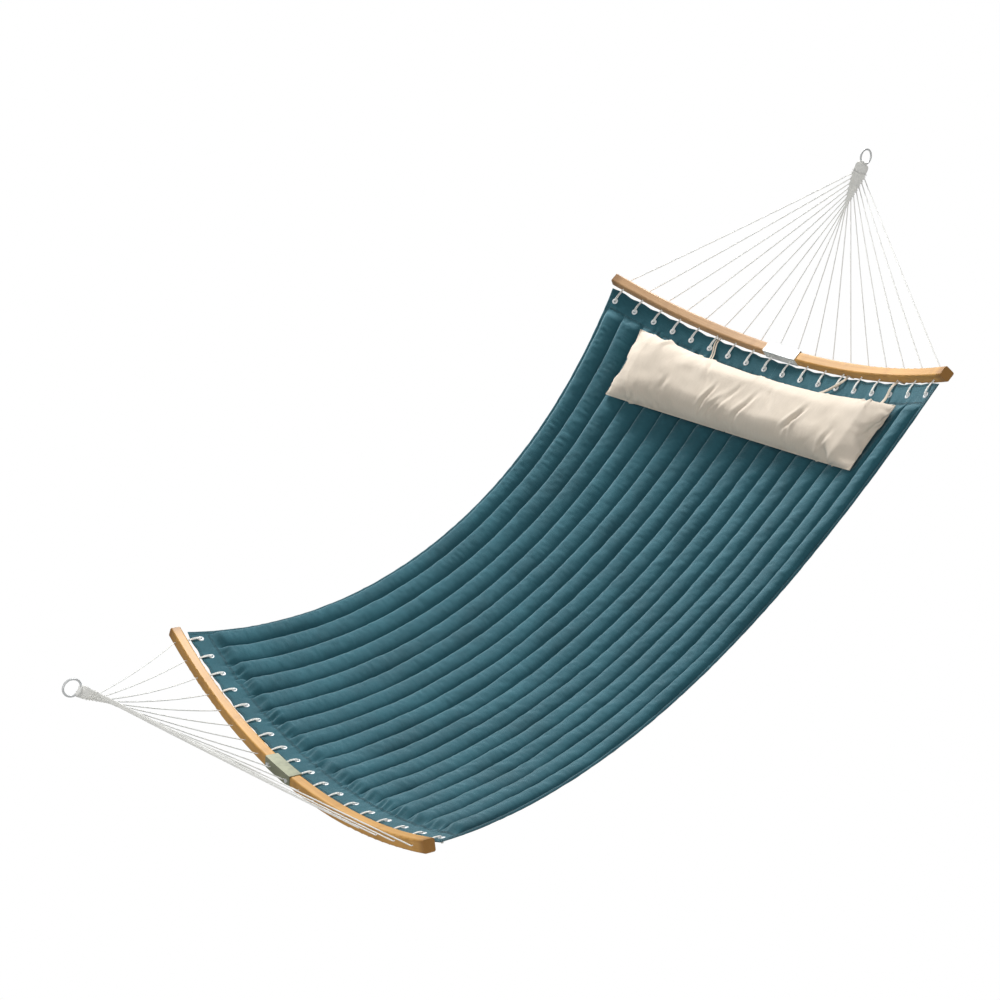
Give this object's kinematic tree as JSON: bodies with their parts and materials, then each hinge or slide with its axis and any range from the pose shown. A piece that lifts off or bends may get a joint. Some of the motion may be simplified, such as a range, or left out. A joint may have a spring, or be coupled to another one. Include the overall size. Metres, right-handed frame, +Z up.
{
  "type": "quilted hammock with folding spreader bars",
  "caption": "Padded double hammock hung from a ring at each end, with curved folding bamboo spreader bars and a tied pillow.",
  "frame": {"origin": "centre of the head ring", "axes": "+Z up, -X along the hammock from the head ring towards the foot ring, +Y to the far side"},
  "size_m": [2.6334, 1.4136, 1.4845],
  "materials": {
    "steel": "zinc plated",
    "sleeve": "satin",
    "cord": "braided",
    "bamboo": "satin varnish",
    "eyelet": "gloss white",
    "bed_cloth": "plain weave polyester",
    "wadding": "fibre fill",
    "pillow_cloth": "plain weave polyester"
  },
  "bodies": {
    "anchor": {"head_ring": "steel", "foot_ring": "steel"},
    "hammock": {"head_clew": "cord", "head_sleeve": "sleeve", "head_pivot_bolts": "steel", "head_pivot_nuts": "steel", "head_cords_far": "cord", "head_cords_near": "cord", "head_cords_centre": "cord", "head_loops_centre": "cord", "head_eyelets_centre": "eyelet", "head_hem_centre": "bed_cloth", "foot_clew": "cord", "foot_sleeve": "sleeve", "foot_pivot_bolts": "steel", "foot_pivot_nuts": "steel", "foot_cords_far": "cord", "foot_cords_near": "cord", "foot_cords_centre": "cord", "foot_loops_centre": "cord", "foot_eyelets_centre": "eyelet", "foot_hem_centre": "bed_cloth", "bed_top_cover": "bed_cloth", "bed_wadding": "wadding", "bed_bottom_cover": "bed_cloth", "side_hem_far": "bed_cloth", "side_hem_near": "bed_cloth", "pillow_cover": "pillow_cloth", "pillow_filling": "wadding", "pillow_ties": "pillow_cloth"},
    "head_bar_far": {"head_bar_half_far": "bamboo", "head_loops_far": "cord", "head_eyelets_far": "eyelet", "head_hem_far": "bed_cloth"},
    "head_bar_near": {"head_bar_half_near": "bamboo", "head_loops_near": "cord", "head_eyelets_near": "eyelet", "head_hem_near": "bed_cloth"},
    "foot_bar_far": {"foot_bar_half_far": "bamboo", "foot_loops_far": "cord", "foot_eyelets_far": "eyelet", "foot_hem_far": "bed_cloth"},
    "foot_bar_near": {"foot_bar_half_near": "bamboo", "foot_loops_near": "cord", "foot_eyelets_near": "eyelet", "foot_hem_near": "bed_cloth"}
  },
  "joints": [
    {"name": "swing", "type": "hinge", "parent": "anchor", "child": "hammock", "pos_m": [-0.01002, 0, -0.01959], "axis": [0.9282, 0, 0.3721], "range_deg": [-30, 30]},
    {"name": "head_bar_fold_far", "type": "hinge", "parent": "hammock", "child": "head_bar_far", "pos_m": [-0.29253, 0.052, -0.57], "axis": [-0.7638, 0, -0.6455], "range_deg": [0, 90], "deforming": ["head_cords_far"]},
    {"name": "head_bar_fold_near", "type": "hinge", "parent": "hammock", "child": "head_bar_near", "pos_m": [-0.29253, -0.052, -0.57], "axis": [0.7638, 0, 0.6455], "range_deg": [0, 90], "deforming": ["head_cords_near"]},
    {"name": "foot_bar_fold_far", "type": "hinge", "parent": "hammock", "child": "foot_bar_far", "pos_m": [-2.04451, 0.052, -1.43452], "axis": [-0.9945, 0, 0.1045], "range_deg": [0, 90], "deforming": ["foot_cords_far"]},
    {"name": "foot_bar_fold_near", "type": "hinge", "parent": "hammock", "child": "foot_bar_near", "pos_m": [-2.04451, -0.052, -1.43452], "axis": [0.9945, 0, -0.1045], "range_deg": [0, 90], "deforming": ["foot_cords_near"]}
  ],
  "couplings": [
    {"joint": "head_bar_fold_near", "follows": "head_bar_fold_far", "ratio": 1},
    {"joint": "foot_bar_fold_near", "follows": "foot_bar_fold_far", "ratio": 1}
  ]
}
